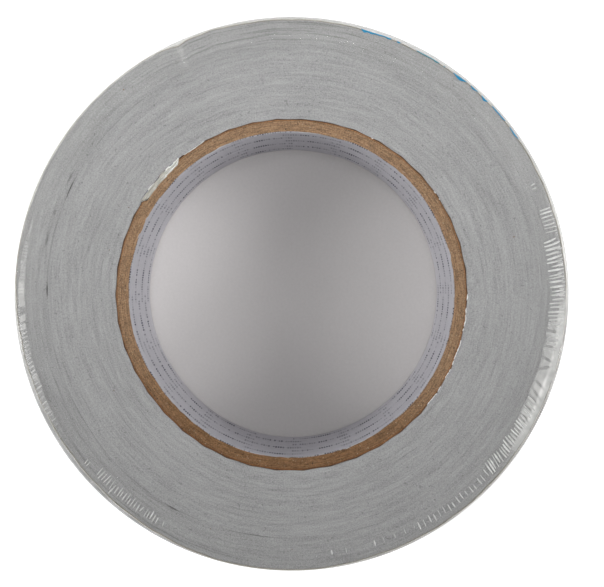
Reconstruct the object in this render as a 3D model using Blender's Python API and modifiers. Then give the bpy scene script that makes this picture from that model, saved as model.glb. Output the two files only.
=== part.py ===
"""A roll of duct tape lying on its end face, as separate sheets, plies and bands on one axis.

The Z axis is the roll's own axis. The origin is on it, at the bottom of the shrink film.
Every piece is a sheet bent round that axis, so one function turns nearly all of them.
"""

import math

import bpy

# Driving dimensions, in metres.
TAPE_WIDTH = 0.048
BORE_RADIUS = 0.0381
CORE_OUTER_RADIUS = 0.0413
WINDING_OUTER_RADIUS = 0.0638
LABEL_INNER_RADIUS = 0.06445
FILM_OUTER_RADIUS = 0.0650

# Sheet thicknesses.
LINER_PAPER = 0.00018
ADHESIVE = 0.00010
SCRIM = 0.00008
BACKING = 0.00009
LABEL_PAPER = 0.00015
FILM = 0.00008

# Clearances between pieces that touch on the real roll.
SHEET_GAP = 0.00005
TAB_GAP = 0.0003
FACE_GAP = 0.0003

# The core: strips of board wound on a slant, so each butt seam is a helix.
PLY_COUNT = 6
SEAM_WIDTH = 0.0003
SEAM_SWEEP = math.radians(125)
SEAM_SPACING = math.radians(97)
SEAM_STEPS = 12

# The start of the tape: its corner is folded into a notch torn in the core's outer plies.
NOTCHED_PLIES = 2
TAB_START = math.radians(130)
TAB_SWEEP = math.radians(18)
TAB_THICKNESS = 0.00135
TAB_DEPTH = 0.014

# Where the last turn of tape and the label are cut, and how wide each cut is.
TAPE_END_ANGLE = math.radians(205)
LABEL_END_ANGLE = math.radians(300)
END_CUT = 0.0006

# The film's folds over the two faces, and the round of its shoulders.
FOLD_RADIUS = 0.0576
SHOULDER = 0.0006
SHOULDER_STEPS = 3

FULL_TURN = 2 * math.pi
SEGMENTS = 72
WELD = 0.00005
CUTTER_REACH = 0.001
SHARP_ANGLE = math.radians(30)

# What follows from the dimensions above.
FACE_BOTTOM = FACE_GAP
FACE_TOP = FACE_BOTTOM + TAPE_WIDTH
FILM_TOP = FACE_TOP + FACE_GAP
FIRST_PLY_RADIUS = BORE_RADIUS + LINER_PAPER + SHEET_GAP
PLY_PITCH = (CORE_OUTER_RADIUS + SHEET_GAP - FIRST_PLY_RADIUS) / PLY_COUNT
TAB_INNER_RADIUS = FIRST_PLY_RADIUS + (PLY_COUNT - NOTCHED_PLIES) * PLY_PITCH
WINDING_INNER_RADIUS = CORE_OUTER_RADIUS + SHEET_GAP


def clear_scene():
    for obj in list(bpy.data.objects):
        bpy.data.objects.remove(obj)


def new_collection(name):
    collection = bpy.data.collections.new(name)
    bpy.context.scene.collection.children.link(collection)
    return collection


def new_material(name, colour, roughness, metallic=0.0, alpha=1.0):
    material = bpy.data.materials.new(name)
    material.use_nodes = True
    shader = material.node_tree.nodes["Principled BSDF"]
    shader.inputs["Base Color"].default_value = (*colour, 1.0)
    shader.inputs["Roughness"].default_value = roughness
    shader.inputs["Metallic"].default_value = metallic
    shader.inputs["Alpha"].default_value = alpha
    return material


def object_from_profile(name, profile, collection):
    """A bare outline, ready to be turned: each point is joined to the next."""
    mesh = bpy.data.meshes.new(name)
    edges = [(i, i + 1) for i in range(len(profile) - 1)]
    mesh.from_pydata([(x, 0.0, z) for x, z in profile], edges, [])
    obj = bpy.data.objects.new(name, mesh)
    collection.objects.link(obj)
    return obj


def add_screw(obj, angle, steps, rise=0.0):
    screw = obj.modifiers.new("Turn", "SCREW")
    screw.axis = "Z"
    screw.angle = angle
    screw.screw_offset = rise
    screw.steps = steps
    screw.render_steps = steps
    screw.use_merge_vertices = angle == FULL_TURN
    screw.merge_threshold = WELD


def add_thickness(obj, thickness, offset):
    """offset is 1 to grow outwards from the profile, -1 inwards and 0 to both sides."""
    solidify = obj.modifiers.new("Thickness", "SOLIDIFY")
    solidify.thickness = thickness
    solidify.offset = offset
    solidify.use_even_offset = False


def keep_shape(obj):
    """Turns the modifiers' result into the object's own mesh, shaded smooth round the axis."""
    graph = bpy.context.evaluated_depsgraph_get()
    mesh = bpy.data.meshes.new_from_object(obj.evaluated_get(graph))
    profile = obj.data
    obj.modifiers.clear()
    obj.data = mesh
    bpy.data.meshes.remove(profile)
    mesh.name = obj.name
    mesh.shade_smooth()
    mesh.set_sharp_from_angle(angle=SHARP_ANGLE)


def bent_sheet(
    name,
    inner_radius,
    thickness,
    collection,
    start=0.0,
    sweep=FULL_TURN,
    bottom=FACE_BOTTOM,
    top=FACE_TOP,
):
    """A sheet bent round the axis with its inner side at inner_radius, as wide as the tape."""
    profile = [(inner_radius, top), (inner_radius, bottom)]
    obj = object_from_profile(name, profile, collection)
    obj.rotation_euler.z = start
    add_screw(obj, sweep, round(SEGMENTS * sweep / FULL_TURN))
    add_thickness(obj, thickness, 1)
    keep_shape(obj)
    return obj


def cut_sheet(name, inner_radius, thickness, collection, start):
    """A sheet that goes all but once round, with its two ends END_CUT apart at start."""
    sweep = FULL_TURN - END_CUT / inner_radius
    return bent_sheet(name, inner_radius, thickness, collection, start, sweep)


def subtract(obj, cutter):
    cutter.hide_render = True
    cutter.display_type = "WIRE"
    boolean = obj.modifiers.new("Cut", "BOOLEAN")
    boolean.operation = "DIFFERENCE"
    boolean.object = cutter


def seam_blade(name, inner_radius, outer_radius, start, collection):
    """A thin helical blade, which cuts a ply's butt seam from one face to the other."""
    profile = [(inner_radius - CUTTER_REACH, 0.0), (outer_radius + CUTTER_REACH, 0.0)]
    blade = object_from_profile(name, profile, collection)
    blade.location.z = FACE_BOTTOM - CUTTER_REACH
    blade.rotation_euler.z = start
    add_screw(blade, SEAM_SWEEP, SEAM_STEPS, TAPE_WIDTH + 2 * CUTTER_REACH)
    add_thickness(blade, SEAM_WIDTH, 0)
    keep_shape(blade)
    return blade


def make_wound_strip(name, index, inner_radius, thickness, material, parts, cutters):
    """One strip of the core. Its seam starts SEAM_SPACING round from its neighbour's."""
    strip = bent_sheet(name, inner_radius, thickness, parts)
    strip.data.materials.append(material)
    blade = seam_blade(
        name + "_seam_cutter",
        inner_radius,
        inner_radius + thickness,
        index * SEAM_SPACING,
        cutters,
    )
    subtract(strip, blade)
    return strip


def make_core(notch, parts, cutters):
    """The printed paper liner, and the plies of board wound on it, the outer ones notched."""
    paper = new_material("liner_paper", (0.62, 0.60, 0.66), 0.75)
    make_wound_strip("core_liner", 0, BORE_RADIUS, LINER_PAPER, paper, parts, cutters)
    for ply in range(1, PLY_COUNT + 1):
        shade = 0.9 + 0.1 * ply / PLY_COUNT
        board = new_material(f"board_ply_{ply}", (0.38 * shade, 0.24 * shade, 0.13 * shade), 0.85)
        radius = FIRST_PLY_RADIUS + (ply - 1) * PLY_PITCH
        name = f"core_ply_{ply}"
        thickness = PLY_PITCH - SHEET_GAP
        strip = make_wound_strip(name, ply, radius, thickness, board, parts, cutters)
        if ply > PLY_COUNT - NOTCHED_PLIES:
            subtract(strip, notch)


def make_notch(cutters):
    """The space that the start tab takes, in the core's outer plies and the first turns."""
    clear_turn = TAB_GAP / TAB_INNER_RADIUS
    return bent_sheet(
        "start_tab_notch",
        TAB_INNER_RADIUS - 2 * SHEET_GAP,
        2 * SHEET_GAP + TAB_THICKNESS + TAB_GAP,
        cutters,
        TAB_START - clear_turn,
        TAB_SWEEP + 2 * clear_turn,
        FACE_TOP - TAB_DEPTH - TAB_GAP,
        FACE_TOP + CUTTER_REACH,
    )


def make_start_tab(parts):
    """The folded, crumpled corner that the tape starts from, flush with the end face."""
    tab = bent_sheet(
        "tape_start_tab",
        TAB_INNER_RADIUS,
        TAB_THICKNESS,
        parts,
        TAB_START,
        TAB_SWEEP,
        FACE_TOP - TAB_DEPTH,
    )
    tab.data.materials.append(new_material("tab_foil", (0.72, 0.73, 0.74), 0.25, 0.9))


def make_winding(notch, parts):
    """All the turns but the last, as one pack."""
    thickness = WINDING_OUTER_RADIUS - WINDING_INNER_RADIUS
    winding = bent_sheet("tape_winding", WINDING_INNER_RADIUS, thickness, parts)
    winding.data.materials.append(new_material("tape_edges", (0.37, 0.38, 0.38), 0.55))
    subtract(winding, notch)


def make_last_turn(parts):
    """The last turn of tape, layer by layer: adhesive inside, then scrim, then backing."""
    layers = (
        ("last_turn_adhesive", ADHESIVE, new_material("adhesive", (0.55, 0.54, 0.50), 0.7)),
        ("last_turn_scrim", SCRIM, new_material("scrim", (0.66, 0.66, 0.64), 0.8)),
        ("last_turn_backing", BACKING, new_material("backing", (0.42, 0.43, 0.44), 0.35, 0.4)),
    )
    radius = WINDING_OUTER_RADIUS + SHEET_GAP
    for name, thickness, material in layers:
        layer = cut_sheet(name, radius, thickness, parts, TAPE_END_ANGLE)
        layer.data.materials.append(material)
        radius += thickness + SHEET_GAP


def make_label(parts):
    """The paper band round the roll, its two ends END_CUT apart."""
    label = cut_sheet("label_band", LABEL_INNER_RADIUS, LABEL_PAPER, parts, LABEL_END_ANGLE)
    label.data.materials.append(new_material("label_paper", (0.80, 0.79, 0.74), 0.6))


def shoulder(centre_z, from_angle):
    """A quarter round of the film's outline, in the XZ plane."""
    centre_x = FILM_OUTER_RADIUS - SHOULDER
    points = []
    for step in range(SHOULDER_STEPS + 1):
        angle = from_angle - math.pi / 2 * step / SHOULDER_STEPS
        x = centre_x + SHOULDER * math.cos(angle)
        points.append((x, centre_z + SHOULDER * math.sin(angle)))
    return points


def make_film(parts):
    """The shrink film: a sleeve round the roll, folded over both faces as far as FOLD_RADIUS."""
    profile = [(FOLD_RADIUS, FILM_TOP)]
    profile += shoulder(FILM_TOP - SHOULDER, math.pi / 2)
    profile += shoulder(SHOULDER, 0.0)
    profile.append((FOLD_RADIUS, 0.0))
    film = object_from_profile("shrink_film", profile, parts)
    add_screw(film, FULL_TURN, SEGMENTS)
    add_thickness(film, FILM, -1)
    keep_shape(film)
    film.data.materials.append(new_material("clear_film", (0.90, 0.91, 0.92), 0.12, 0.0, 0.25))


def main():
    clear_scene()
    parts = new_collection("duct_tape_roll")
    cutters = new_collection("cutters")
    notch = make_notch(cutters)
    make_core(notch, parts, cutters)
    make_start_tab(parts)
    make_winding(notch, parts)
    make_last_turn(parts)
    make_label(parts)
    make_film(parts)


main()
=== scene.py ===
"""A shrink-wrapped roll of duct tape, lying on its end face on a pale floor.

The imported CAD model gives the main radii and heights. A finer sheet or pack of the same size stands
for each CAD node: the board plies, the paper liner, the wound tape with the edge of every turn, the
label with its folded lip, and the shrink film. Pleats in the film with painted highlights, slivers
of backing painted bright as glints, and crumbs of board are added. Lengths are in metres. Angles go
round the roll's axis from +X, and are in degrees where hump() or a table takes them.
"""

import math

import bpy
import numpy as np
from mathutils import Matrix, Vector


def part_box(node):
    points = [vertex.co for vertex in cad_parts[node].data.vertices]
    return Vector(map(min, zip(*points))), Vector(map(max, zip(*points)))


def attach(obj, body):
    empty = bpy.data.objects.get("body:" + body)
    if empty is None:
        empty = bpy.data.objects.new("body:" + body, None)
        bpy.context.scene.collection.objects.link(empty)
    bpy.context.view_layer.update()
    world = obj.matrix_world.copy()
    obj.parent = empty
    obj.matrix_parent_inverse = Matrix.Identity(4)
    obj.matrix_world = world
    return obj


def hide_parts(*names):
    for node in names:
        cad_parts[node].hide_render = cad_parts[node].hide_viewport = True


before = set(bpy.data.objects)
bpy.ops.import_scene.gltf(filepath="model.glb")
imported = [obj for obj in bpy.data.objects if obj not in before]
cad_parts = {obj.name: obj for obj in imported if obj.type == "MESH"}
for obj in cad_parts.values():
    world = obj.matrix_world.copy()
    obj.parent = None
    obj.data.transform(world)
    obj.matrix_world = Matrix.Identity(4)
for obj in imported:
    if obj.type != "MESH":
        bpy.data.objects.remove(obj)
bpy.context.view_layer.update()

TURN = 2 * math.pi
RNG = np.random.default_rng(20)

# What the CAD model gives.


def outer_radius(node):
    return float(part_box(node)[1][0])


FACE_BOTTOM, FACE_TOP = (float(corner[2]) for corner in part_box("tape_winding"))
FILM_RADIUS = outer_radius("shrink_film")
FILM_TOP = float(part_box("shrink_film")[1][2])
TAPE_RADIUS = outer_radius("last_turn_backing")
CORE_RADIUS = outer_radius("core_ply_6")
LINER_OUTER = outer_radius("core_liner")
PLY_COUNT = 6

# The core: its liner, its plies with their slanted seams, and the notch torn for the start tab.
LINER_PAPER = 0.00018
BOARD_GAP = 0.00001
SEAM_SWEEP = math.radians(125)
SEAM_SPACING = math.radians(97)
SEAM_WIDTH = 0.00012
NOTCH_START, NOTCH_END = 130.0, 148.5
NOTCH_DEPTH = 0.014
NOTCHED_PLIES = 2

# The tape and the label, and where each is cut.
TURN_PITCH = 0.0002
LAST_TURN_LAYER = 0.00006
TAPE_END_ANGLE = math.radians(205)
LABEL_PAPER = 0.00009
LABEL_END_ANGLE = math.radians(300)
END_CUT = math.radians(0.3)
LEAST_LIP, MOST_LIP = 0.00003, 0.0012
BLUE_START, BLUE_END = 34.0, 75.3

# The film: its weld, its cut edge on the faces, its rounded shoulders and its wall.
FILM_THICKNESS = 0.00006
FILM_LIFT = 0.00006
FILM_WALL_INSET = 0.00003
WELD_ANGLE = 114.5
FOLD_RADIUS = 0.0573
SHOULDER_INSET = 0.00045
SHOULDER_ROUND = 0.00042
SHOULDER_DROP = 0.0012

# How far under the upper face a point still counts as being on it.
ON_FACE = 0.0005

# The floor's half side, the radius of the table's disc on it, and their heights.
FLOOR_HALF, FLOOR_HEIGHT = 4.0, -0.0004
TABLE_RADIUS, TABLE_HEIGHT = 0.058, -0.0001


# How far the real roll is from round.


def hump(angles, centre, half_width, height, power=2):
    """A rise or a dent round the roll, its centre and half width in degrees.

    More power makes it squarer.
    """
    away = (np.degrees(angles) - centre + 180.0) % 360.0 - 180.0
    return height * np.exp(-np.abs(away / half_width) ** power)


def humps(angles, *rows):
    """The sum of several humps, each given as a row of hump()'s own values."""
    return sum(hump(angles, *row) for row in rows)


def core_offset(angles):
    """The core is pressed in a little at the lower left, and a touch oval."""
    return humps(angles, (218, 20, -0.00045), (268, 22, 0.00020), (88, 16, -0.00018))


def lobes(angles, count, seed_turn):
    """So many arches round the roll, each up to 1 in its middle, which meet in cusps at 0."""
    drift = 0.35 * np.sin(3 * angles + seed_turn) + 0.2 * np.sin(7 * angles + 2 * seed_turn)
    return np.abs(np.sin(0.5 * (count * angles + drift)))


def facets(angles):
    """How far the first turns stand off the core's mean outside, in flats between sharp crests."""
    return 0.00023 * (0.64 - lobes(angles, 42, 0.4)) * (1 - hump(angles, 81, 6, 0.9, 4))


def edge_offset(angles):
    """How far the outermost turn is from its mean radius."""
    offset = humps(
        angles,
        (66, 13, -0.00024, 4),
        (107, 1.8, 0.00035),
        (WELD_ANGLE, 1.6, -0.00050),
        (150, 33, 0.00050, 6),
        (202, 8, -0.00012),
        (218, 17, -0.00048),
        (264, 18, 0.00046, 4),
        (308, 20, 0.00018),
    )
    return offset + 0.00007 + 0.00012 * (lobes(angles, 40, 1.0) - 0.6)


def ring_noise(angles, rows, angle_cells, row_cells):
    """Smooth random values from -1 to 1 on a ring, one row for each of rows, which run 0 to 1."""
    lattice = RNG.uniform(-1, 1, (row_cells + 2, angle_cells))
    u = (angles % TURN) / TURN * angle_cells
    v = np.asarray(rows) * row_cells
    u0, v0 = np.floor(u).astype(int), np.floor(v).astype(int)
    fu, fv = u - u0, v - v0
    fu, fv = fu * fu * (3 - 2 * fu), (fv * fv * (3 - 2 * fv))[:, None]
    left, right = u0 % angle_cells, (u0 + 1) % angle_cells
    low = lattice[v0][:, left] * (1 - fu) + lattice[v0][:, right] * fu
    high = lattice[v0 + 1][:, left] * (1 - fu) + lattice[v0 + 1][:, right] * fu
    return low * (1 - fv) + high * fv


def edge_noise(angles, cells):
    """Smooth random values from -1 to 1 round the roll."""
    return ring_noise(angles, [0.0], cells, 1)[0]


# Meshes.


def set_attribute(obj, name, values):
    """One number for each point of the mesh, for its material to read."""
    layer = obj.data.attributes.new(name, "FLOAT", "POINT")
    layer.data.foreach_set("value", np.ravel(values))


def mesh_object(name, points, faces, material, smooth=True):
    mesh = bpy.data.meshes.new(name)
    mesh.from_pydata(np.asarray(points).tolist(), [], [list(face) for face in faces])
    mesh.materials.append(material)
    if smooth:
        mesh.shade_smooth()
        mesh.set_sharp_from_angle(angle=math.radians(40))
    else:
        mesh.shade_flat()
    obj = bpy.data.objects.new(name, mesh)
    bpy.context.scene.collection.objects.link(obj)
    return obj


def point_at(radius, angle, z):
    return radius * math.cos(angle), radius * math.sin(angle), z


def ring_mesh(name, radii, heights, angles, material, closed=True, smooth=True):
    """A ring of the loop of rows, which runs out along the top, down, and back along the bottom.

    Each array has a row for each point of the loop and a column for each angle.
    """
    rows, columns = radii.shape
    points = np.stack([radii * np.cos(angles), radii * np.sin(angles), heights + 0 * radii], -1)
    index = np.arange(rows * columns).reshape(rows, columns)
    after = np.roll(index, -1, axis=0)
    quads = np.stack([index, after, np.roll(after, -1, axis=1), np.roll(index, -1, axis=1)], -1)
    if closed:
        return mesh_object(name, points.reshape(-1, 3), quads.reshape(-1, 4), material, smooth)
    faces = quads[:, :-1].reshape(-1, 4).tolist()
    faces.append(index[::-1, 0].tolist())
    faces.append(index[:, -1].tolist())
    return mesh_object(name, points.reshape(-1, 3), faces, material, smooth)


def sheet_ring(name, radii, heights, thickness, angles, material, closed=True):
    """A sheet of even thickness whose middle follows the rows from its top edge to its bottom.

    The attribute outer_side is 1 on the side away from the roll and 0 on the side towards it.
    """
    slope_r, slope_z = np.gradient(radii, axis=0), np.gradient(heights, axis=0)
    length = np.hypot(slope_r, slope_z)
    out_r, out_z = -slope_z / length * thickness / 2, slope_r / length * thickness / 2
    loop_r = np.concatenate([radii + out_r, (radii - out_r)[::-1]])
    loop_z = np.concatenate([heights + out_z, (heights - out_z)[::-1]])
    obj = ring_mesh(name, loop_r, loop_z, np.concatenate([angles, angles[::-1]]), material, closed)
    set_attribute(obj, "outer_side", np.repeat([1.0, 0.0], radii.size))
    return obj


def set_on_both_sides(obj, name, values):
    """An attribute of a sheet_ring, given for each point of its rows."""
    set_attribute(obj, name, np.concatenate([values, values[::-1]]))


def stand_for(obj, slot, *nodes):
    """The piece rides on the roll's one body and takes the place of these CAD nodes."""
    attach(obj, "root")
    if nodes:
        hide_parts(*nodes)
    return obj


# Materials.


def set_inputs(node, **values):
    """Sets sockets by name, with _ for each space."""
    for name, value in values.items():
        node.inputs[name.replace("_", " ")].default_value = value


class Shader:
    """A node material, with short calls for the few kinds of node used here."""

    def __init__(self, name, roughness=0.5, metallic=0.0):
        self.material = bpy.data.materials.new(name)
        self.material.use_nodes = True
        self.tree = self.material.node_tree
        self.principled = self.tree.nodes["Principled BSDF"]
        self.output = self.tree.nodes["Material Output"]
        set_inputs(self.principled, Roughness=roughness, Metallic=metallic)
        self.polar = None

    def wire(self, socket, value):
        if isinstance(value, bpy.types.NodeSocket):
            self.tree.links.new(value, socket)
        elif value is not None:
            socket.default_value = value

    def node(self, kind):
        return self.tree.nodes.new("ShaderNode" + kind)

    def math(self, operation, first, second=None, third=None, clamp=False):
        node = self.node("Math")
        node.operation = operation
        node.use_clamp = clamp
        for socket, value in zip(node.inputs, (first, second, third)):
            self.wire(socket, value)
        return node.outputs[0]

    def coordinates(self):
        """Object coordinates, and the radius, angle and height that they give."""
        if self.polar is None:
            place = self.node("TexCoord").outputs["Object"]
            split = self.node("SeparateXYZ")
            self.wire(split.inputs[0], place)
            x, y, z = split.outputs
            square = self.math("MULTIPLY", y, y)
            radius = self.math("SQRT", self.math("MULTIPLY_ADD", x, x, square))
            self.polar = place, radius, self.math("ARCTAN2", y, x), z
        return self.polar

    def vector(self, x, y, z):
        node = self.node("CombineXYZ")
        for socket, value in zip(node.inputs, (x, y, z)):
            self.wire(socket, value)
        return node.outputs[0]

    def streaks(self, around, across, detail=2.0, depth=None):
        """Noise drawn out round the roll: cells per radian round it and per metre of depth."""
        _, radius, angle, z = self.coordinates()
        x = self.math("MULTIPLY", self.math("COSINE", angle), around)
        y = self.math("MULTIPLY", self.math("SINE", angle), around)
        depth = depth or self.math("ADD", radius, z)
        return self.noise(1.0, detail, self.vector(x, y, self.math("MULTIPLY", depth, across)))

    def noise(self, scale, detail=2.0, vector=None, roughness=0.5):
        node = self.node("TexNoise")
        set_inputs(node, Scale=scale, Detail=detail, Roughness=roughness)
        self.wire(node.inputs["Vector"], vector or self.coordinates()[0])
        return node.outputs["Fac"]

    def sum_of_noises(self, base, *layers):
        """base, plus each noise's distance from its mean times its weight."""
        total = base
        for noise, weight in layers:
            total = self.math("MULTIPLY_ADD", self.math("SUBTRACT", noise, 0.5), weight, total)
        return total

    def shaded(self, colour, factor):
        node = self.node("VectorMath")
        node.operation = "SCALE"
        self.wire(node.inputs[0], colour)
        self.wire(node.inputs["Scale"], factor)
        return node.outputs[0]

    def step(self, value, start, end, low=0.0, high=1.0):
        """low up to start, high from end, and a smooth run between."""
        node = self.node("MapRange")
        node.interpolation_type = "SMOOTHSTEP"
        for socket, number in zip(node.inputs, (value, start, end, low, high)):
            self.wire(socket, number)
        return node.outputs[0]

    def mix(self, factor, first, second):
        node = self.node("Mix")
        node.data_type = "RGBA"
        for name, value in (("Factor", factor), ("A", first), ("B", second)):
            socket = [s for s in node.inputs if s.name == name and s.enabled][0]
            if isinstance(value, tuple):
                value = (*value, 1.0)
            self.wire(socket, value)
        return [s for s in node.outputs if s.enabled][0]

    def thin_fresnel(self):
        """How much a clear sheet reflects, the same from its front and its back."""
        node = self.node("LayerWeight")
        set_inputs(node, Blend=0.5)
        grazing = self.math("POWER", node.outputs["Facing"], 5.0)
        return self.math("MULTIPLY_ADD", grazing, 0.45, 0.014)

    def within(self, value, middle, half_width):
        away = self.math("ABSOLUTE", self.math("SUBTRACT", value, middle))
        return self.math("LESS_THAN", away, half_width)

    def attribute(self, name):
        node = self.node("Attribute")
        node.attribute_name = name
        return node.outputs["Fac"]

    def bump(self, height, depth, strength=1.0):
        node = self.node("Bump")
        set_inputs(node, Strength=strength, Distance=depth)
        self.wire(node.inputs["Height"], height)
        self.wire(self.principled.inputs["Normal"], node.outputs[0])

    def colour(self, value):
        self.wire(self.principled.inputs["Base Color"], value)

    def roughness(self, value):
        self.wire(self.principled.inputs["Roughness"], value)

    def glow(self, colour, strength):
        set_inputs(self.principled, Emission_Color=(*colour, 1.0), Emission_Strength=strength)


def scaled(colour, factor):
    return tuple(channel * factor for channel in colour)


def tape_edge_material():
    """The turns' sliced edges: matt grey, streaked round the roll, brown at the first turn, and with
    painted shade in the gaps between loose outer turns.
    """
    shader = Shader("tape_edges", 0.6)
    wound = shader.attribute("wound")
    shade = shader.sum_of_noises(
        1.0,
        (shader.streaks(4, 1000, 2, wound), 0.40),
        (shader.streaks(8, 2900, 3, wound), 0.46),
        (shader.noise(3400, 2, roughness=0.8), 1.20),
        (shader.noise(60, 2), 0.12),
    )
    arcs = shader.step(shader.streaks(4, 1900, 2, wound), 0.60, 0.70, 0.0, 0.11)
    # Painted shade: darker streaks where gaps open between loose turns near the rim.
    gap_shade = shader.step(shader.streaks(2.4, 2500, 3, wound), 0.50, 0.60, 0.0, 0.40)
    arcs = shader.math("MULTIPLY_ADD", gap_shade, shader.attribute("loose_gap_shade"), arcs)
    dots = shader.step(shader.noise(1250, 1), 0.69, 0.76, 0.0, 0.26)
    shade = shader.math("SUBTRACT", shade, shader.math("ADD", arcs, dots))
    grey = shader.shaded((0.341, 0.341, 0.340), shade)
    first_turn = shader.step(wound, 0.00001, 0.00007, 1.0, 0.0)
    shader.colour(shader.mix(first_turn, grey, (0.180, 0.085, 0.036)))
    shader.bump(shade, 0.00012, 0.5)
    return shader.material


def board_material(name, brown, glue_line, rim_shade):
    """Cut kraft board, furred with short fibres, with dark and pale flecks, and painted shade that
    makes it darker and browner at the front.

    glue_line is how dark the glue makes the ply's inner side, and rim_shade is how dark painted shade
    makes its outer side, along the gap to the tape.
    """
    shader = Shader(name, 0.88)
    angle = shader.coordinates()[2]
    shade = shader.sum_of_noises(
        1.0,
        (shader.noise(3000, 3, roughness=0.8), 2.5),
        (shader.noise(900, 3), 0.5),
        (shader.streaks(14, 3200, 2), 1.3),
    )
    # Painted shade: darker and browner towards the front, at 262°.
    front = shader.math("COSINE", shader.math("SUBTRACT", angle, math.radians(262)))
    front_shade = tuple(channel * share for channel, share in zip(brown, (0.70, 0.60, 0.48)))
    base = shader.mix(shader.step(front, 0.3, 0.92), brown, front_shade)
    colour = shader.shaded(base, shade)
    fleck = shader.noise(1700, 1)
    colour = shader.mix(shader.step(fleck, 0.68, 0.74, 0.0, 0.80), colour, (0.07, 0.042, 0.028))
    colour = shader.mix(shader.step(fleck, 0.33, 0.27, 0.0, 0.55), colour, (0.50, 0.40, 0.27))
    across = shader.attribute("across")
    glue_and_gap_shade = shader.step(across, 0.05, 0.42, glue_line, 0.0)
    # Painted shade of the gap to the tape along the ply's outer side; glue along its inner side.
    glue_and_gap_shade = shader.math("MAXIMUM", glue_and_gap_shade, shader.step(across, 0.55, 0.95, 0.0, rim_shade))
    colour = shader.mix(glue_and_gap_shade, colour, (0.070, 0.034, 0.016))
    shader.colour(colour)
    shader.bump(shade, 0.00022, 0.6)
    return shader.material


def liner_material():
    """White paper with rows of small grey-blue ticks in staggered groups."""
    shader = Shader("liner_paper", 0.62)
    _, _, angle, z = shader.coordinates()
    shade = shader.sum_of_noises(1.0, (shader.noise(900, 3), 0.35), (shader.noise(90, 2), 0.18))
    paper = shader.shaded((0.600, 0.590, 0.625), shade)
    row = shader.math("DIVIDE", shader.math("SUBTRACT", FACE_TOP - 0.0027, z), 0.0073)
    row_number = shader.math("FLOOR", row)
    in_row = shader.math("FRACT", row)
    turned = shader.math("MULTIPLY", angle, 10 / TURN)
    groups = shader.math("MULTIPLY_ADD", row_number, 0.5, turned)
    in_group = shader.math("FRACT", groups)
    ticks = shader.math("MULTIPLY", angle, 400 / TURN)
    cell = shader.vector(shader.math("FLOOR", ticks), row_number, 0.0)
    white = shader.node("TexWhiteNoise")
    shader.wire(white.inputs["Vector"], cell)
    chance = white.outputs["Value"]
    tall = shader.step(chance, 0.1, 0.9, 0.14, 0.23)
    from_middle = shader.math("ABSOLUTE", shader.math("SUBTRACT", in_row, 0.5))
    ink = shader.math("LESS_THAN", from_middle, tall)
    for limit in (
        shader.math("LESS_THAN", in_group, 0.60),
        shader.math("LESS_THAN", shader.math("FRACT", ticks), 0.64),
        shader.math("GREATER_THAN", chance, 0.14),
    ):
        ink = shader.math("MULTIPLY", ink, limit)
    from_centre = shader.math("ABSOLUTE", shader.math("SUBTRACT", in_group, 0.33))
    heavy = shader.step(from_centre, 0.11, 0.02)
    faint = shader.step(chance, 0.1, 0.95, 0.30, 0.60)
    strength = shader.math("MULTIPLY_ADD", heavy, 0.60, faint)
    line = shader.math("LESS_THAN", from_middle, 0.07)
    line = shader.math("MULTIPLY", line, shader.step(in_group, 0.64, 0.58, 0.0, 0.16))
    worn = shader.math("MAXIMUM", line, shader.math("MULTIPLY", ink, strength, clamp=True))
    cut = shader.step(z, FACE_TOP - 0.0004, FACE_TOP - 0.0002, 1.0, 0.72)
    paper = shader.shaded(paper, cut)
    shader.colour(shader.mix(worn, paper, (0.045, 0.05, 0.085)))
    shader.bump(shader.noise(1600, 4), 0.00005, 0.5)
    return shader.material


def foil_material():
    """The crumpled start of the tape: silvery backing, painted white along the creases as a
    highlight, with painted dark reflections in patches along its outer edge.
    """
    shader = Shader("tab_foil", 0.32)
    across = shader.attribute("across")
    from_middle = shader.math("ABSOLUTE", shader.math("SUBTRACT", across, 0.52))
    torn = shader.noise(300, 2)
    # Painted highlight: near white towards the long edges and where the noise is high.
    white = shader.math("MULTIPLY_ADD", shader.math("SUBTRACT", torn, 0.5), 2.4, from_middle)
    grey = shader.mix(shader.noise(900, 2), (0.36, 0.35, 0.32), (0.64, 0.62, 0.56))
    foil_and_highlight = shader.mix(shader.step(white, 0.20, 0.42), grey, (0.92, 0.92, 0.90))
    # Painted reflection: dark blue-grey patches along the outer edge.
    patches = shader.step(shader.noise(330, 1), 0.50, 0.55)
    dark_reflection = shader.math("MULTIPLY", shader.step(across, 0.80, 0.92), patches)
    shader.colour(shader.mix(dark_reflection, foil_and_highlight, (0.10, 0.115, 0.145)))
    shader.roughness(shader.step(torn, 0.35, 0.65, 0.25, 0.42))
    shader.bump(shader.noise(700, 2), 0.00008, 0.25)
    return shader.material


def glint_material():
    """Slivers of silver backing painted near white: painted glints where they catch the light."""
    shader = Shader("painted_glint", 0.35, 0.15)
    shade = shader.sum_of_noises(1.0, (shader.noise(1500), 0.7))
    shader.colour(shader.shaded((0.86, 0.86, 0.85), shade))
    shader.bump(shader.noise(2600, 2), 0.0001, 0.5)
    return shader.material


def plain_layer_material(name, colour, roughness):
    """One layer of the last turn, seen only as an edge."""
    shader = Shader(name, roughness)
    speck = shader.streaks(50, 5000, 2)
    shader.colour(shader.mix(speck, scaled(colour, 0.8), scaled(colour, 1.2)))
    shader.bump(speck, 0.00004, 0.5)
    return shader.material


def backing_material():
    """Silver-grey backing with the scrim's threads pressed through it."""
    shader = Shader("tape_backing", 0.34, 0.25)
    _, _, angle, z = shader.coordinates()
    warp = shader.math("SINE", shader.math("MULTIPLY", z, TURN / 0.0009))
    weft = shader.math("SINE", shader.math("MULTIPLY", angle, 420))
    weave = shader.math("MAXIMUM", warp, weft)
    grain = shader.noise(800, 3)
    shader.colour(shader.mix(grain, (0.33, 0.335, 0.34), (0.45, 0.455, 0.46)))
    shader.bump(shader.math("ADD", weave, grain), 0.00005, 0.8)
    return shader.material


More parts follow.
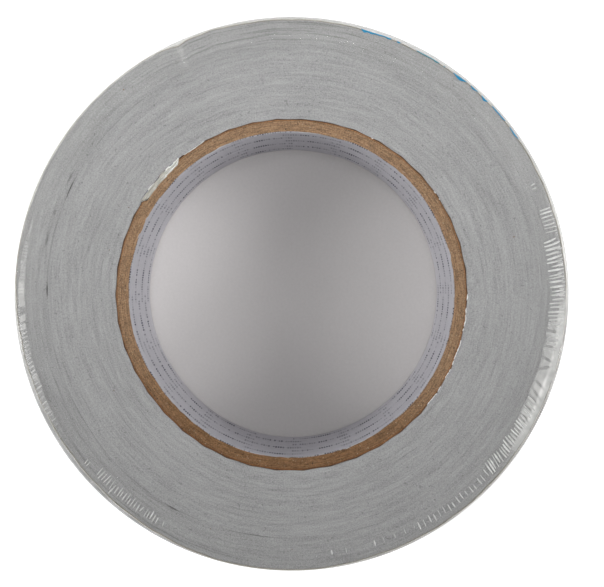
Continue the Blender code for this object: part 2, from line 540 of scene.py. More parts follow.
def label_material():
    """A cream paper band with plain blue panels and rules, and no lettering."""
    shader = Shader("label_paper", 0.5)
    _, _, angle, z = shader.coordinates()
    outside = shader.attribute("outer_side")
    shade = shader.sum_of_noises(1.0, (shader.noise(900, 3), 0.30))
    cream = shader.shaded((0.66, 0.635, 0.565), shade)
    degrees = shader.math("DEGREES", angle)
    lip = shader.attribute("lip_ink")
    teal = shader.math("MULTIPLY", shader.within(degrees, 60.5, 5.5), lip)
    blue = shader.mix(teal, (0.012, 0.240, 0.450), (0.050, 0.230, 0.300))
    half_width = (BLUE_END - BLUE_START) / 2
    front = shader.within(degrees, BLUE_START + half_width, half_width)
    back = shader.within(degrees, BLUE_START + half_width - 180, half_width)
    sides = shader.math("MAXIMUM", front, back)
    sides = shader.math("MULTIPLY", sides, shader.within(z, FACE_TOP / 2, 0.010))
    panel = shader.math("MAXIMUM", sides, lip)
    rules = ((0.0105, 0.0012), (0.0380, 0.0012), (0.0405, 0.0004), (0.0080, 0.0004))
    for height, half in rules:
        panel = shader.math("MAXIMUM", panel, shader.within(z, height, half))
    ink = shader.math("MULTIPLY", panel, outside)
    shader.colour(shader.mix(ink, cream, blue))
    shader.bump(shader.noise(900, 3), 0.00004, 0.4)
    return shader.material


def film_material():
    """Clear shrink film: what is behind shows through, with gloss, haze, painted glare and painted
    shade on top.
    """
    shader = Shader("clear_film", 0.35)
    # The cover is the film's haze, with painted highlight where it stands for glare and painted shade
    # at the cut edge.
    haze_and_painted_light = shader.attribute("haze_and_painted_light")
    smear = shader.noise(260, 3)
    uneven = shader.step(smear, 0.3, 0.7, 0.65, 1.15)
    cover = shader.math("MULTIPLY", haze_and_painted_light, uneven, clamp=True)
    clear = shader.node("BsdfTransparent")
    set_inputs(clear, Color=(0.997, 0.997, 0.997, 1.0))
    gloss = shader.node("BsdfGlossy")
    set_inputs(gloss, Roughness=0.16, Color=(0.95, 0.95, 0.95, 1.0))
    shine = shader.node("MixShader")
    shader.wire(shine.inputs[0], shader.thin_fresnel())
    shader.wire(shine.inputs[1], clear.outputs[0])
    shader.wire(shine.inputs[2], gloss.outputs[0])
    # Painted shade: the cover darkens where film_shade is set.
    shader.colour(shader.mix(shader.attribute("film_shade"), (0.84, 0.838, 0.82), (0.05, 0.045, 0.04)))
    both = shader.node("MixShader")
    shader.wire(both.inputs[0], cover)
    shader.wire(both.inputs[1], shine.outputs[0])
    shader.wire(both.inputs[2], shader.principled.outputs[0])
    shader.wire(shader.output.inputs["Surface"], both.outputs[0])
    bump = shader.node("Bump")
    set_inputs(bump, Distance=0.0001, Strength=0.35)
    shader.wire(bump.inputs["Height"], smear)
    shader.wire(gloss.inputs["Normal"], bump.outputs[0])
    return shader.material


def pleat_material():
    """Gathered film, painted white where it catches the light: a painted highlight."""
    shader = Shader("film_pleats", 0.18)
    cloud = shader.noise(500, 2)
    shader.colour(shader.mix(cloud, (0.76, 0.76, 0.75), (0.92, 0.92, 0.91)))
    uneven = shader.step(cloud, 0.3, 0.7, 0.70, 1.00)
    cover = shader.math("MULTIPLY", uneven, shader.attribute("pleat_highlight"), clamp=True)
    shader.wire(shader.principled.inputs["Alpha"], cover)
    return shader.material


def floor_material():
    """A pale, faintly mottled sheet, bright enough to hold no shadow of its own."""
    shader = Shader("floor", 0.9)
    shader.colour(shader.mix(shader.noise(6, 3), (0.44, 0.44, 0.44), (0.47, 0.47, 0.47)))
    shader.glow((1.0, 1.0, 1.0), 0.78)
    return shader.material


def table_and_bore_shade_material():
    """The grey-beige table under the roll, seen through the core, its grey partly its own and partly
    painted shade of the bore, with painted light at the upper left.
    """
    shader = Shader("table_and_bore_shade", 0.7)
    split = shader.node("SeparateXYZ")
    shader.wire(split.inputs[0], shader.coordinates()[0])
    # Painted shade: darker towards the right.
    shade_to_right = shader.step(split.outputs["X"], -0.03, 0.03, 1.03, 0.86)
    up_left = shader.math("SUBTRACT", split.outputs["Y"], split.outputs["X"])
    # Painted light: lighter at the upper left.
    lit = shader.math("ADD", shade_to_right, shader.step(up_left, 0.012, 0.042, 0.0, 0.14))
    shade = shader.sum_of_noises(lit, (shader.noise(25, 3), 0.12), (shader.noise(1500), 0.10))
    shader.colour(shader.shaded((0.64, 0.620, 0.608), shade))
    # Painted fill light: a faint glow.
    shader.glow((1.0, 0.98, 0.97), 0.035)
    return shader.material


# The core.


def core_boundary(ply, angles):
    """The radius between two plies, counted from the liner's outer side, 0, to the core's, 6."""
    nominal = LINER_OUTER + (CORE_RADIUS - LINER_OUTER) * ply / PLY_COUNT
    nominal = nominal + (ply / PLY_COUNT) ** 8 * (0.45 * facets(angles) - 0.00022)
    ripple = 0.00003 * np.sin(9 * angles + 1.7 * ply) + 0.00002 * np.sin(23 * angles + ply)
    return nominal + core_offset(angles) + ripple


def helix_angles(start, columns, heights, gap):
    """Angles for each row of a strip with a slanted butt seam that starts at start."""
    turned = start + SEAM_SWEEP * (heights - FACE_BOTTOM) / (FACE_TOP - FACE_BOTTOM)
    around = np.linspace(gap, TURN - gap, columns)
    return turned[:, None] + around[None, :]


def notch_depth(angles, inset):
    """How deep the torn notch is, with short sloping ends; inset narrows it, in degrees."""
    degrees = np.degrees(angles) % 360
    inside = np.minimum(degrees - NOTCH_START - inset, NOTCH_END - inset - degrees)
    return NOTCH_DEPTH * np.clip(inside / 2.6, 0, 1) ** 3


def make_ply(ply, material):
    """One strip of board, with rough end faces.

    The first ply's inner edge is frayed, and the outer plies have the torn notch.
    """
    columns, levels = 480, 18
    walls = np.linspace(FACE_TOP, FACE_BOTTOM, levels)
    heights = np.concatenate([walls, walls[::-1]])
    gap = SEAM_WIDTH / 2 / LINER_OUTER
    angles = helix_angles(ply * SEAM_SPACING, columns, heights, gap)
    outer = core_boundary(ply, angles) - BOARD_GAP
    inner = core_boundary(ply - 1, angles) + BOARD_GAP
    radii = np.where(np.arange(2 * levels)[:, None] < levels, outer, inner)
    rough = np.repeat(heights[:, None], columns, axis=1)
    own = -0.00004 * (ply % 2) + 0.00004 * edge_noise(angles[0], 40)
    rough[0] += own - 0.00003 + 0.00003 * RNG.uniform(-1, 1, columns)
    rough[-1] += own + 0.00003 * RNG.uniform(-1, 1, columns)
    if ply == 1:
        around = angles[-1]
        fray = edge_noise(around, 64) + 0.6 * edge_noise(around, 170)
        tufts = np.clip(fray + 0.1, 0, 1)
        radii[-1] -= 0.00016 * tufts + 0.00002 * RNG.uniform(-1, 1, columns)
        rough[-1] += 0.00014 * tufts
    if ply > PLY_COUNT - NOTCHED_PLIES:
        ceiling = FACE_TOP - notch_depth(angles, 0.5 * (PLY_COUNT - ply))
        rough = np.minimum(rough, ceiling)
    obj = ring_mesh(f"board_ply_{ply}", radii, rough, angles, material, closed=False)
    set_attribute(obj, "across", np.repeat([1.0, 0.0], radii.size // 2))
    return stand_for(obj, "kraft_board", f"core_ply_{ply}")


def make_liner(material):
    """The paper inside the core, its cut edge furred and lifted here and there."""
    columns, levels = 720, 26
    heights = np.linspace(FACE_TOP - 0.00006, FACE_BOTTOM, levels)
    angles = helix_angles(0.0, columns, heights, SEAM_WIDTH / 2 / LINER_OUTER)
    middle = LINER_OUTER - LINER_PAPER / 2 - BOARD_GAP
    radii = middle + core_offset(angles)
    rows = np.linspace(0, 1, levels)
    radii += 0.00004 * ring_noise(angles[0], rows, 60, 8)
    z = np.repeat(heights[:, None], columns, axis=1)
    ragged = edge_noise(angles[0], 210) + 0.5 * edge_noise(angles[0], 97)
    furred = np.clip(ragged - 0.55, 0, 1) * (0.5 + hump(angles[0], 79, 9, 1.0))
    z[0] += 0.00020 * furred + 0.00006 * ragged - 0.00004
    radii[0] += 0.00040 * furred
    obj = sheet_ring("paper_liner", radii, z, LINER_PAPER, angles, material, closed=False)
    return stand_for(obj, "liner_paper", "core_liner")


def make_start_tab(material):
    """The folded corner of the tape's start: a wad of a few broad creases in the notch."""
    columns, rows = 14, 6
    span = np.radians(np.linspace(NOTCH_START - 0.3, NOTCH_END - 0.2, columns))
    inner = core_boundary(PLY_COUNT - NOTCHED_PLIES, span) - 0.00012
    outer = core_boundary(PLY_COUNT, span) + 0.00048
    across = np.linspace(0, 1, rows)[:, None]
    flank = 1 - 0.75 * np.abs(np.linspace(-1, 1, columns)) ** 8
    top_r = outer - (outer - inner) * (1 - across) * flank
    ridges = np.array([-0.00020, 0.00018, -0.00010, -0.00016, 0.00016, -0.00016])[:, None]
    top_z = FACE_TOP + ridges + 0.00016 * RNG.uniform(-1, 1, (rows, columns))
    top_r[1:-1] += 0.00007 * RNG.uniform(-1, 1, (rows - 2, columns))
    low_z = FACE_TOP - np.maximum(notch_depth(span, 1.0), 0.0006)[None, :]
    radii = np.concatenate([top_r, top_r[-1:], top_r[:1]])
    heights = np.concatenate([top_z, low_z, low_z])
    obj = ring_mesh("start_tab", radii, heights, span + 0 * radii, material, False, False)
    set_attribute(obj, "across", np.concatenate([across, across[-1:], across[:1]]) + 0 * radii)
    return stand_for(obj, "tab_foil", "tape_start_tab")


def make_glints(material):
    """Slivers of backing painted bright as glints where the first turn shows past the core."""
    points, faces, steps = [], [], 6
    lower_right = RNG.uniform(320, 358, 24)
    upper_right = RNG.uniform(28, 68, 4)
    by_tab = RNG.uniform(119, 127, 5)
    for start in np.concatenate([lower_right, upper_right, by_tab]):
        sweep = RNG.uniform(0.9, 3.0) if start > 100 else RNG.uniform(0.4, 0.8)
        span = np.radians(np.linspace(0, sweep, steps) + start)
        middle = winding_inner(span) - 0.00003 + RNG.uniform(-1, 1, steps) * 0.00004
        half = 0.00012 * np.sin(np.linspace(0.2, math.pi - 0.2, steps)) + 0.00003
        lift = FACE_TOP + 0.00004 + 0.00004 * RNG.uniform(-1, 1, steps)
        first = len(points)
        for angle, radius, wide, top in zip(span, middle, half, lift):
            low = top - 0.00012
            for r, z in ((radius - wide, low), (radius - wide / 3, top), (radius + wide, low)):
                points.append(point_at(r, angle, z))
        faces += tube_faces(first, steps, 3)
    obj = mesh_object("start_turn_glints", points, faces, material, smooth=False)
    return stand_for(obj, "tape_backing")


def tube_faces(first, stations, sides):
    """Faces of a closed tube of points already made, station by station, with both ends shut."""
    faces = []
    for station in range(stations - 1):
        for side in range(sides):
            a = first + station * sides + side
            b = first + station * sides + (side + 1) % sides
            faces.append((a, a + sides, b + sides, b))
    faces.append(tuple(first + side for side in range(sides)))
    last = first + (stations - 1) * sides
    faces.append(tuple(last + side for side in reversed(range(sides))))
    return faces


# The tape.


def face_edge(angles):
    """The radius of the outermost turn's outer side, kept clear of the film."""
    return np.minimum(TAPE_RADIUS + 0.00005 + edge_offset(angles), FILM_RADIUS - 0.00026)


def start_room(angles):
    """How far the first turns stand out over the start tab."""
    return hump(angles, (NOTCH_START + NOTCH_END) / 2, 9.2, 0.00030, 8)


def winding_inner(angles):
    """The first turn's inner side, just clear of the board, so that a dark line shows between."""
    return CORE_RADIUS + core_offset(angles) - 0.00012 + facets(angles) + start_room(angles)


def make_winding(material):
    """The pack of turns. On the upper face each turn's edge stands a little high or low."""
    columns = 600
    angles = np.linspace(0, TURN, columns, endpoint=False)
    inner = winding_inner(angles)
    outer = face_edge(angles) - 3 * LAST_TURN_LAYER
    edges = round(float((outer - inner).mean()) / TURN_PITCH) + 1

    def end_face(rows, up):
        t = np.linspace(0, 1, rows)
        own = RNG.uniform(-1, 1, rows)[:, None] * 0.000025
        wave = 0.00005 * ring_noise(angles, t, 62, rows // 2)
        slow = 0.00006 * ring_noise(angles, t, 9, 9)
        fall = -0.00012 * np.exp(-t / 0.012) - 0.00005 * np.exp((t - 1) / 0.012)
        radii = inner + (outer - inner) * t[:, None]
        return radii, up * (own + wave + slow + fall[:, None])

    top_r, top_z = end_face(edges, 1)
    low_r, low_z = end_face(edges // 3, -1)
    walls = np.linspace(FACE_TOP, FACE_BOTTOM, 7)[1:-1, None]
    snug = core_boundary(PLY_COUNT, angles) + 0.00003 + start_room(angles)
    pits = FACE_TOP - np.array([[0.0016], [0.0007]])
    radii = [
        top_r,
        outer + 0 * walls,
        low_r[::-1],
        snug + 0 * walls,
        snug + 0 * pits[:1],
        inner + 0 * pits[1:],
    ]
    heights = [
        FACE_TOP + top_z,
        walls + 0 * outer,
        FACE_BOTTOM + np.maximum(low_z[::-1], 0.0),
        walls[::-1] + 0 * outer,
        pits + 0 * outer,
    ]
    radii, heights = np.concatenate(radii), np.concatenate(heights)
    obj = ring_mesh("wound_turns", radii, heights, angles + 0 * radii, material)
    share = np.clip((radii - inner) / (outer - inner), 0, 1)
    # Where painted shade darkens the gaps between loose outer turns, near 92° and 236°.
    upper = hump(angles, 92, 30, 1.0, 4) * np.clip((share - 0.72) / 0.15, 0, 1)
    lower = hump(angles, 236, 24, 0.8, 4) * np.clip((share - 0.90) / 0.05, 0, 1)
    thickness = TAPE_RADIUS - CORE_RADIUS
    set_attribute(obj, "wound", share * thickness)
    set_attribute(obj, "loose_gap_shade", upper + lower)
    return stand_for(obj, "tape_edges", "tape_winding")


def make_last_turn(materials):
    """Adhesive, scrim and backing of the last turn, each a sheet of its own, cut at the end."""
    columns = 720
    angles = TAPE_END_ANGLE + np.linspace(END_CUT, TURN - END_CUT, columns)
    heights = np.linspace(FACE_TOP, FACE_BOTTOM, 5)[:, None]
    for layer, (name, slot, material) in enumerate(materials):
        inset = (2.5 - layer) * LAST_TURN_LAYER
        lift = 0.00003 * RNG.uniform(-1, 1, columns) - 0.00004 * layer
        z = heights + np.array([1, 0, 0, 0, 0])[:, None] * lift
        radii = face_edge(angles) - inset + 0 * z
        obj = sheet_ring(name, radii, z, LAST_TURN_LAYER * 0.9, angles + 0 * z, material, False)
        stand_for(obj, slot, name)


# The label and the film.


def lip_length(angles):
    """How far the label's edge is folded in over the face, in ragged stretches."""
    degrees = np.degrees(angles) % 360
    inside = (degrees > BLUE_START) & (degrees < BLUE_END)
    # The middle, half width and reach of each stretch.
    folds = ((35.5, 1.6, 0.00035), (39.8, 1.2, 0.00034), (42.6, 1.4, 0.00024))
    folds += ((45.2, 0.7, 0.00055), (48.5, 0.7, 0.00038), (52.0, 1.2, 0.00060))
    folds += ((56.1, 0.3, 0.00030), (58.0, 0.7, 0.00026), (60.8, 1.8, 0.00016))
    folds += ((64.5, 0.2, 0.00016), (67.0, 0.4, 0.00034), (69.2, 0.6, 0.00030))
    folds += ((71.2, 0.9, 0.00020), (73.0, 0.9, 0.00042), (74.5, 0.6, 0.00062))
    ragged = 0.00012 * edge_noise(angles, 260) - 0.00002 + humps(angles, *folds)
    return np.where(inside, np.clip(ragged, LEAST_LIP, MOST_LIP), LEAST_LIP)


def make_label(material):
    """The paper band, its upper edge folded in over the face as a ragged lip."""
    columns = 1440
    angles = LABEL_END_ANGLE + np.linspace(END_CUT, TURN - END_CUT, columns)
    stand = face_edge(angles) + 0.00002 + LABEL_PAPER / 2
    lip = lip_length(angles)
    crease = 0.00008 * edge_noise(angles, 120)
    radii = [stand - lip, stand - 0.5 * lip, stand - 0.2 * lip, stand]
    lifts = (0.00010, 0.00014, 0.00012, -0.00004)
    heights = [FACE_TOP + lift + crease * 0.4 for lift in lifts]
    for z in np.linspace(FACE_TOP - 0.001, FACE_BOTTOM, 10):
        radii.append(stand + 0 * angles)
        heights.append(z + 0 * angles)
    radii, heights = np.array(radii), np.array(heights)
    obj = sheet_ring("label", radii, heights, LABEL_PAPER, angles + 0 * radii, material, False)
    inked = np.clip((lip - 0.00008) / 0.00004, 0, 1) * (heights > FACE_TOP - ON_FACE)
    set_on_both_sides(obj, "lip_ink", inked)
    return stand_for(obj, "label_paper", "label_band")


def tenting(angles):
    """How high the film stands off the upper face near its rim, as a share of the most."""
    stretches = ((341, 17, 0.78, 4), (193, 14, 0.6, 4), (8, 14, 0.35), (228, 14, 0.25))
    return 0.22 + humps(angles, *stretches)


def film_heights(radius, angles):
    """The height of the film's middle over the upper face."""
    rise = np.clip((radius - 0.0588) / 0.0028, 0, 1)
    rise = rise * rise * (3 - 2 * rise)
    fall = np.clip((radius - 0.0620) / 0.0026, 0, 1)
    return FACE_TOP + FILM_LIFT + 0.00050 * tenting(angles) * rise * (1 - fall**1.6)


def past_tape(radius, angles):
    """1 where the film is out past the last turn, and 0 where it is over the tape."""
    return np.clip((radius - face_edge(angles)) / 0.0002, 0, 1)


def on_top(heights):
    """1 on the upper face and its shoulder, falling to 0 at the top of the wall."""
    return np.clip((heights - (FACE_TOP - SHOULDER_DROP)) / 0.001, 0, 1)


def film_haze_and_glare(radius, heights, angles):
    """How milky the film is: a little everywhere, with painted highlight in bands where it catches
    the light.
    """
    over_edge, top = past_tape(radius, angles), on_top(heights)
    haze_and_painted_light = 0.022 + 0.60 * over_edge * top
    haze_and_painted_light += hump(angles, 138, 38, 0.50, 6) * np.clip((radius - 0.0643) / 0.0003, 0, 1) * top
    bands = (
        # Round the roll: middle, half width and edge power. Across it: middle, half width. Haze and
        # painted glare.
        (342, 18, 6, 0.0635, 0.0010, 0.50),
        (334, 9, 6, 0.0620, 0.0016, 0.16),
        (342.5, 11.0, 12, 0.0618, 0.0014, 0.34),
        (351, 6, 6, 0.0622, 0.0012, 0.16),
        (8, 14, 4, 0.0640, 0.0005, 0.16),
        (96, 92, 12, 0.0624, 0.0030, 0.045),
        (166, 2.6, 6, 0.0631, 0.0002, 0.16),
        (174, 6, 8, 0.0632, 0.0007, 0.20),
        (180, 2.8, 12, 0.0633, 0.0008, 0.30),
        (191, 8, 12, 0.0633, 0.0008, 0.34),
        (203, 6, 6, 0.0632, 0.0008, 0.16),
        (WELD_ANGLE, 0.7, 4, 0.0627, 0.0007, 0.22),
        (WELD_ANGLE, 0.35, 2, 0.0606, 0.0034, 0.09),
    )
    wobble = 0.00014 * edge_noise(angles, 150)
    for place, half_width, power, across, half_across, amount in bands:
        band = np.exp(-(((radius + wobble - across) / half_across) ** 6)) * top
        haze_and_painted_light += hump(angles, place, half_width, amount, power) * band
    # Clear slits in the band at the right, each with its slant, and in the one at the left.
    slits = ((332.0, -6), (334.2, -8), (336.4, -10), (337.9, -12), (340.0, -10))
    slits += ((343.8, 8), (345.7, -6), (348.4, 0), (350.0, 0), (351.9, 0))
    for place, slant in slits:
        slit = hump(angles - np.radians(slant) * (radius - 0.0618) / 0.02, place, 0.32, 0.42)
        haze_and_painted_light -= slit * np.exp(-(((radius - 0.0619) / 0.0013) ** 4)) * top
    for place in (183.0, 183.7, 184.2, 186.1, 187.9, *np.arange(188.8, 198.0, 0.92)):
        slit = hump(angles - np.radians(6) * (radius - 0.0633) / 0.02, place, 0.20, 0.38)
        haze_and_painted_light -= slit * np.exp(-(((radius - 0.0632) / 0.0010) ** 4)) * top
    on_wall = np.clip((radius - (FILM_RADIUS - 0.0009)) / 0.0002, 0, 1)
    haze_and_painted_light += hump(angles, WELD_ANGLE, 0.5, 0.35, 4) * on_wall
    return np.clip(haze_and_painted_light, 0.02, 1)


def fold_wander(angles):
    """How far the film's cut edge is from FOLD_RADIUS."""
    ripple = 0.00006 * np.sin(17 * angles + 2 * np.sin(3 * angles))
    return 0.00010 * np.sin(5 * angles + 1) + ripple + hump(angles, 210, 20, -0.00045)


def film_edge_shade(radius, heights, angles):
    """Painted shade along the film's cut edge on the upper face, darker at a few spots, with a few
    darker smudges beside it.
    """
    from_cut = radius - FOLD_RADIUS - fold_wander(angles)
    cut = np.exp(-((from_cut / 0.00022) ** 2)) * (heights > FACE_TOP - ON_FACE)
    line = 0.005 + hump(angles, 205, 90, 0.080, 6)
    line *= np.clip(0.9 + 0.8 * edge_noise(angles, 70), 0, 2)
    line += humps(angles, (154.5, 1.8, 0.45), (179, 1.3, 0.65), (240.7, 1.3, 0.70))
    smudges = humps(angles, (152.2, 1.3, 0.26), (161, 0.9, 0.30), (167.3, 1.5, 0.26))
    ring = np.exp(-(((radius - 0.0587) / 0.00020) ** 2))
    return np.clip(cut * line + ring * smudges, 0, 1)


def film_shoulder_shade(radius, heights, angles):
    """Painted shade: the film is greyed where it turns down over the rim, more at some angles round
    the roll than others.
    """
    fade = 1 - 0.7 * np.clip((radius - (FILM_RADIUS - 0.0004)) / 0.0003, 0, 1)
    grey = 0.32 + humps(angles, (222, 30, 0.28), (285, 44, 0.36, 4))
    grey -= humps(angles, (146, 38, 0.32, 6), (64, 18, 0.10, 4), (10, 17, 0.26, 4))
    patches = 0.5 + 0.5 * edge_noise(angles, 90)
    grey += hump(angles, 342, 17, 0.56, 6) * patches
    return past_tape(radius, angles) * on_top(heights) * grey * fade


def make_film(material):
    """A sleeve of film over the rim, with its two cut edges lying on the faces.

    Its columns are finer in the stretches that have slits in their haze and painted glare.
    """
    coarse, fine = 0.6, 0.2
    runs = (
        (0, 181, coarse),
        (181, 200, fine),
        (200, 325, coarse),
        (325, 357, fine),
        (357, 360, coarse),
    )
    angles = np.radians(np.concatenate([np.arange(*run) for run in runs]))
    fold, shoulder_start = FOLD_RADIUS + fold_wander(angles), FILM_RADIUS - SHOULDER_INSET
    radii, heights = [], []

    def add_row(radius, height):
        radii.append(radius + 0 * angles)
        heights.append(height + 0 * angles)

    for t in np.concatenate([[0.0, 0.02, 0.04, 0.07], np.linspace(0.11, 1, 34)]):
        radius = fold + (shoulder_start - fold) * t
        add_row(radius, film_heights(radius, angles))
    for turn in np.linspace(0.15, 1, 4) * math.pi / 2:
        fall = 0.0005 * (1 - math.cos(turn))
        add_row(shoulder_start + SHOULDER_ROUND * math.sin(turn), FACE_TOP + FILM_LIFT - fall)
    wall_top, wall_low = FACE_TOP - SHOULDER_DROP, SHOULDER_DROP
    wall_radius = FILM_RADIUS - FILM_WALL_INSET
    slack = wall_radius - (face_edge(angles) + 0.00004 + LABEL_PAPER)
    for z in np.linspace(wall_top, wall_low, 11):
        middle = math.sin(math.pi * (z - wall_low) / (wall_top - wall_low))
        clinging = 0.45 + 0.25 * ring_noise(angles, [z / FILM_TOP], 24, 8)[0]
        add_row(wall_radius - middle * clinging * slack, z)
    for turn in np.linspace(0, 0.85, 4) * math.pi / 2:
        height = 0.0006 - 0.00055 * math.sin(turn)
        add_row(shoulder_start + SHOULDER_ROUND * math.cos(turn), height)
    for t in np.linspace(1, 0, 4):
        add_row(fold + (shoulder_start - fold) * t, 0.00012 - 0.00008 * t)
    radii, heights = np.array(radii), np.array(heights)
    obj = sheet_ring("film_sleeve", radii, heights, FILM_THICKNESS, angles + 0 * radii, material)
    # Painted shade along the cut edge and on the shoulder, and the film's haze with painted glare.
    edge_shade = film_edge_shade(radii, heights, angles)
    haze_and_painted_light = np.maximum(film_haze_and_glare(radii, heights, angles), edge_shade)
    film_shade = np.maximum(np.clip(edge_shade / 0.05, 0, 1), film_shoulder_shade(radii, heights, angles))
    set_on_both_sides(obj, "haze_and_painted_light", haze_and_painted_light)
    set_on_both_sides(obj, "film_shade", film_shade)
    return stand_for(obj, "clear_film", "shrink_film")


def make_pleats(material):
    """Small gathers in the film, each a narrow ridge that runs nearly radially."""
    zones = (
        # From and to, in degrees. Inner and outer radius, spacing, width, in mm. Lean, painted
        # highlight.
        (13.6, 18.5, 61.0, 64.1, 0.88, 0.36, 0.00, 1.20),
        (11.9, 13.0, 62.8, 64.1, 0.75, 0.28, 0.00, 0.60),
        (-6.5, 11.6, 60.2, 64.0, 1.00, 0.52, 0.12, 1.20),
        (-6.0, 11.0, 62.5, 64.3, 0.80, 0.40, 0.04, 0.80),
        (-12.0, -6.5, 60.2, 63.4, 1.20, 0.95, 0.00, 0.50),
        (-29.0, -24.0, 60.2, 63.3, 1.20, 0.60, -0.40, 0.90),
        (-41.5, -29.0, 60.1, 63.4, 0.80, 0.44, -0.28, 1.25),
        (-61.0, -42.5, 60.8, 63.2, 1.40, 0.36, -0.08, 1.05),
        (-71.5, -62.5, 60.7, 62.4, 2.20, 0.34, 0.00, 0.85),
        (-84.5, -78.0, 60.7, 62.2, 3.00, 0.34, 0.00, 0.80),
        (23.6, 24.4, 61.1, 62.7, 1.05, 0.36, 0.00, 0.80),
        (168.6, 180.0, 62.4, 64.1, 0.85, 0.40, 0.00, 0.26),
        (198.0, 206.0, 62.2, 64.1, 1.20, 0.50, 0.22, 0.60),
        (206.5, 213.0, 62.2, 64.0, 1.50, 0.28, 0.20, 0.60),
        (219.3, 219.9, 61.1, 63.1, 0.70, 0.30, 0.20, 0.85),
        (221.3, 222.1, 61.1, 62.5, 0.80, 0.26, 0.00, 0.50),
        (222.8, 226.6, 60.0, 62.7, 0.92, 0.33, 0.05, 1.00),
        (227.4, 227.4, 60.5, 64.1, 1.00, 0.34, 0.05, 1.20),
        (228.2, 234.2, 60.2, 62.8, 0.84, 0.33, 0.05, 0.95),
        (235.2, 235.2, 60.3, 62.5, 1.00, 0.32, -0.25, 0.95),
        (236.2, 239.2, 60.2, 62.7, 0.80, 0.32, 0.05, 1.10),
        (240.8, 240.8, 60.5, 62.4, 1.00, 0.30, 0.15, 0.85),
    )
    points, faces, pleat_highlight, stations = [], [], [], 8
    for start, end, *sizes, slope, white in zones:
        low, high, spacing, width = (size / 1000 for size in sizes)
        count = max(1, round(math.radians(end - start) * high / spacing) + 1)
        for place in np.linspace(start, end, count):
            angle = math.radians(place) + RNG.normal(0, 0.08) * spacing / high
            inner = low + abs(RNG.normal(0, 0.00035))
            outer = high - abs(RNG.normal(0, 0.0003))
            lean, hook = slope + RNG.normal(0, 0.03), RNG.normal(0.02, 0.04)
            wide = width * RNG.uniform(0.7, 1.2)
            along = np.linspace(0, 1, stations)
            radius = inner + (outer - inner) * along
            turned = angle + (lean + hook * along) * (radius - (low + high) / 2) / radius
            taper = np.sin(math.pi * (0.05 + 0.90 * along)) ** 0.4
            base = film_heights(radius, turned) + FILM_THICKNESS / 2
            first = len(points)
            for r, a, size, z in zip(radius, turned, taper, base):
                half = wide * size / 2 / r
                for side, up in ((-half, 0.0), (0.0, 0.36 * width * size), (half, 0.0)):
                    points.append(point_at(r, a + side, z + up))
            faces += tube_faces(first, stations, 3)
            # Painted highlight: each pleat's share of white, from its zone's last column.
            pleat_highlight += [white * RNG.uniform(0.65, 1.0)] * (3 * stations)
    obj = mesh_object("film_pleats", points, faces, material)
    set_attribute(obj, "pleat_highlight", pleat_highlight)
    return stand_for(obj, "clear_film")


def make_crumbs(material):
    """Crumbs of board on the upper face, each a flat, crooked octahedron."""
    points, faces = [], []
    corners = [(1, 0, 0), (0, 1, 0), (-1, 0, 0), (0, -1, 0), (0, 0, 1), (0, 0, -0.3)]
    placed = [(0.0538, 14.4), (0.0635, 14.3), (0.0439, 166.4), (0.0582, 251.0), (0.0599, 270.1)]
    placed += [(0.0620, 129.4), (0.0474, 208.5), (0.0447, 96.5), (0.0432, 152.0)]
    for radius, degrees in placed:
        px, py, _ = point_at(radius, math.radians(degrees), 0.0)
        size = RNG.uniform(0.00012, 0.00026)
        turn = RNG.uniform(0, TURN)
        first = len(points)
        for x, y, z in corners:
            stretch = RNG.uniform(0.7, 1.3) * size
            across = x * math.cos(turn) - 0.6 * y * math.sin(turn)
            along = x * math.sin(turn) + 0.6 * y * math.cos(turn)
            lift = FACE_TOP + 0.00011 + z * stretch * 0.5
            points.append((px + across * stretch, py + along * stretch, lift))
        for side in range(4):
            after = (side + 1) % 4
            faces.append((first + side, first + after, first + 4))
            faces.append((first + after, first + side, first + 5))
    obj = mesh_object("board_crumbs", points, faces, material, smooth=False)
    return stand_for(obj, "kraft_board")


# The floor, the lights and the camera.


def make_stage():
    """A wide pale floor, and on it a disc for the table that shows through the core, its grey partly
    painted shade of the bore.
    """
    corners = [(-1, -1), (1, -1), (1, 1), (-1, 1)]
    square = [(x * FLOOR_HALF, y * FLOOR_HALF, FLOOR_HEIGHT) for x, y in corners]
    around = np.linspace(0, TURN, 96, endpoint=False)
    disc = [point_at(TABLE_RADIUS, angle, TABLE_HEIGHT) for angle in around]
    for name, points, material in (
        ("floor", square, floor_material()),
        ("table_disc_and_bore_shade", disc, table_and_bore_shade_material()),
    ):
        mesh_object(name, points, [range(len(points))], material, smooth=False)


def aim(obj, place, target):
    """Stand a lamp or a camera at place, looking at target, with +Y as near up as it can be."""
    obj.location = place
    direction = Vector(target) - Vector(place)
    obj.rotation_mode = "QUATERNION"
    obj.rotation_quaternion = Vector((0, 0, -1)).rotation_difference(direction)


def add_area_light(name, place, target, size, power, spread, seen_in_gloss=True):
    data = bpy.data.lights.new(name, "AREA")
    data.shape = "RECTANGLE"
    data.size, data.size_y = size
    data.energy = power
    data.spread = math.radians(spread)
    light = bpy.data.objects.new(name, data)
    light.visible_glossy = seen_in_gloss
    bpy.context.scene.collection.objects.link(light)
    aim(light, place, target)


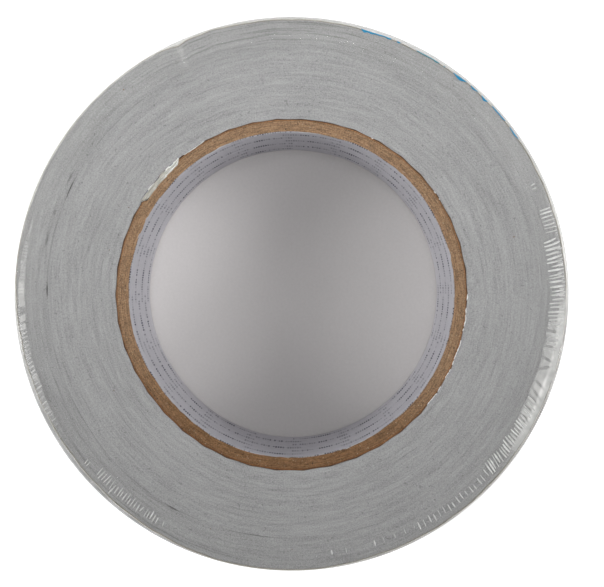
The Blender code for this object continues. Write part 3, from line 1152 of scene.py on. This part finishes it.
def make_lights():
    """A sky that is dim overhead and bright near the horizon, a lamp each side and one on top."""
    world = bpy.data.worlds.new("studio")
    world.use_nodes = True
    tree = world.node_tree
    direction = tree.nodes.new("ShaderNodeTexCoord").outputs["Generated"]
    split = tree.nodes.new("ShaderNodeSeparateXYZ")
    tree.links.new(direction, split.inputs[0])
    strength = tree.nodes.new("ShaderNodeMapRange")
    strength.interpolation_type = "SMOOTHSTEP"
    set_inputs(strength, From_Min=0.10, From_Max=0.32, To_Min=0.95, To_Max=0.20)
    tree.links.new(split.outputs["Z"], strength.inputs["Value"])
    background = tree.nodes["Background"]
    set_inputs(background, Color=(1.0, 1.0, 1.0, 1.0))
    tree.links.new(strength.outputs[0], background.inputs["Strength"])
    bpy.context.scene.world = world
    target, above = (-0.01, 0.06, FACE_TOP), (0.0, 0.05, FACE_TOP)
    add_area_light("right_lamp", (0.42, 0.03, 0.42), target, (0.26, 0.26), 0.134, 41)
    add_area_light("left_lamp", (-0.42, 0.05, 0.42), target, (0.26, 0.26), 0.142, 41)
    add_area_light("top_lamp", (0.0, 0.03, 0.95), above, (0.16, 0.16), 0.052, 34, False)


def make_camera():
    """Nearly straight down the roll's axis, from where the bore's far end looks 0.88 as wide."""
    data = bpy.data.cameras.new("camera")
    data.sensor_width = 36.0
    data.lens = 91.79
    data.clip_start = 0.01
    camera = bpy.data.objects.new("camera", data)
    bpy.context.scene.collection.objects.link(camera)
    aim(camera, (0.0034, 0.0023, FACE_TOP + 0.361), (0.00247, 0.00014, FACE_TOP))
    bpy.context.scene.camera = camera


def make_core():
    board = board_material("kraft_board", (0.325, 0.202, 0.115), 0.15, 0.0)
    outer_board = board_material("outer_ply", (0.370, 0.190, 0.088), 0.62, 0.90)
    make_liner(liner_material())
    for ply in range(1, PLY_COUNT + 1):
        make_ply(ply, outer_board if ply == PLY_COUNT else board)
    make_crumbs(outer_board)


def make_tape():
    make_start_tab(foil_material())
    make_glints(glint_material())
    make_winding(tape_edge_material())
    adhesive = plain_layer_material("tape_adhesive", (0.36, 0.32, 0.25), 0.7)
    scrim = plain_layer_material("tape_scrim", (0.38, 0.35, 0.29), 0.8)
    make_last_turn(
        (
            ("last_turn_adhesive", "tape_adhesive", adhesive),
            ("last_turn_scrim", "tape_scrim", scrim),
            ("last_turn_backing", "tape_backing", backing_material()),
        )
    )


def make_wrapping():
    make_label(label_material())
    make_film(film_material())
    make_pleats(pleat_material())


make_camera()
make_lights()
make_stage()
make_core()
make_tape()
make_wrapping()
bpy.context.scene.view_settings.view_transform = "Standard"
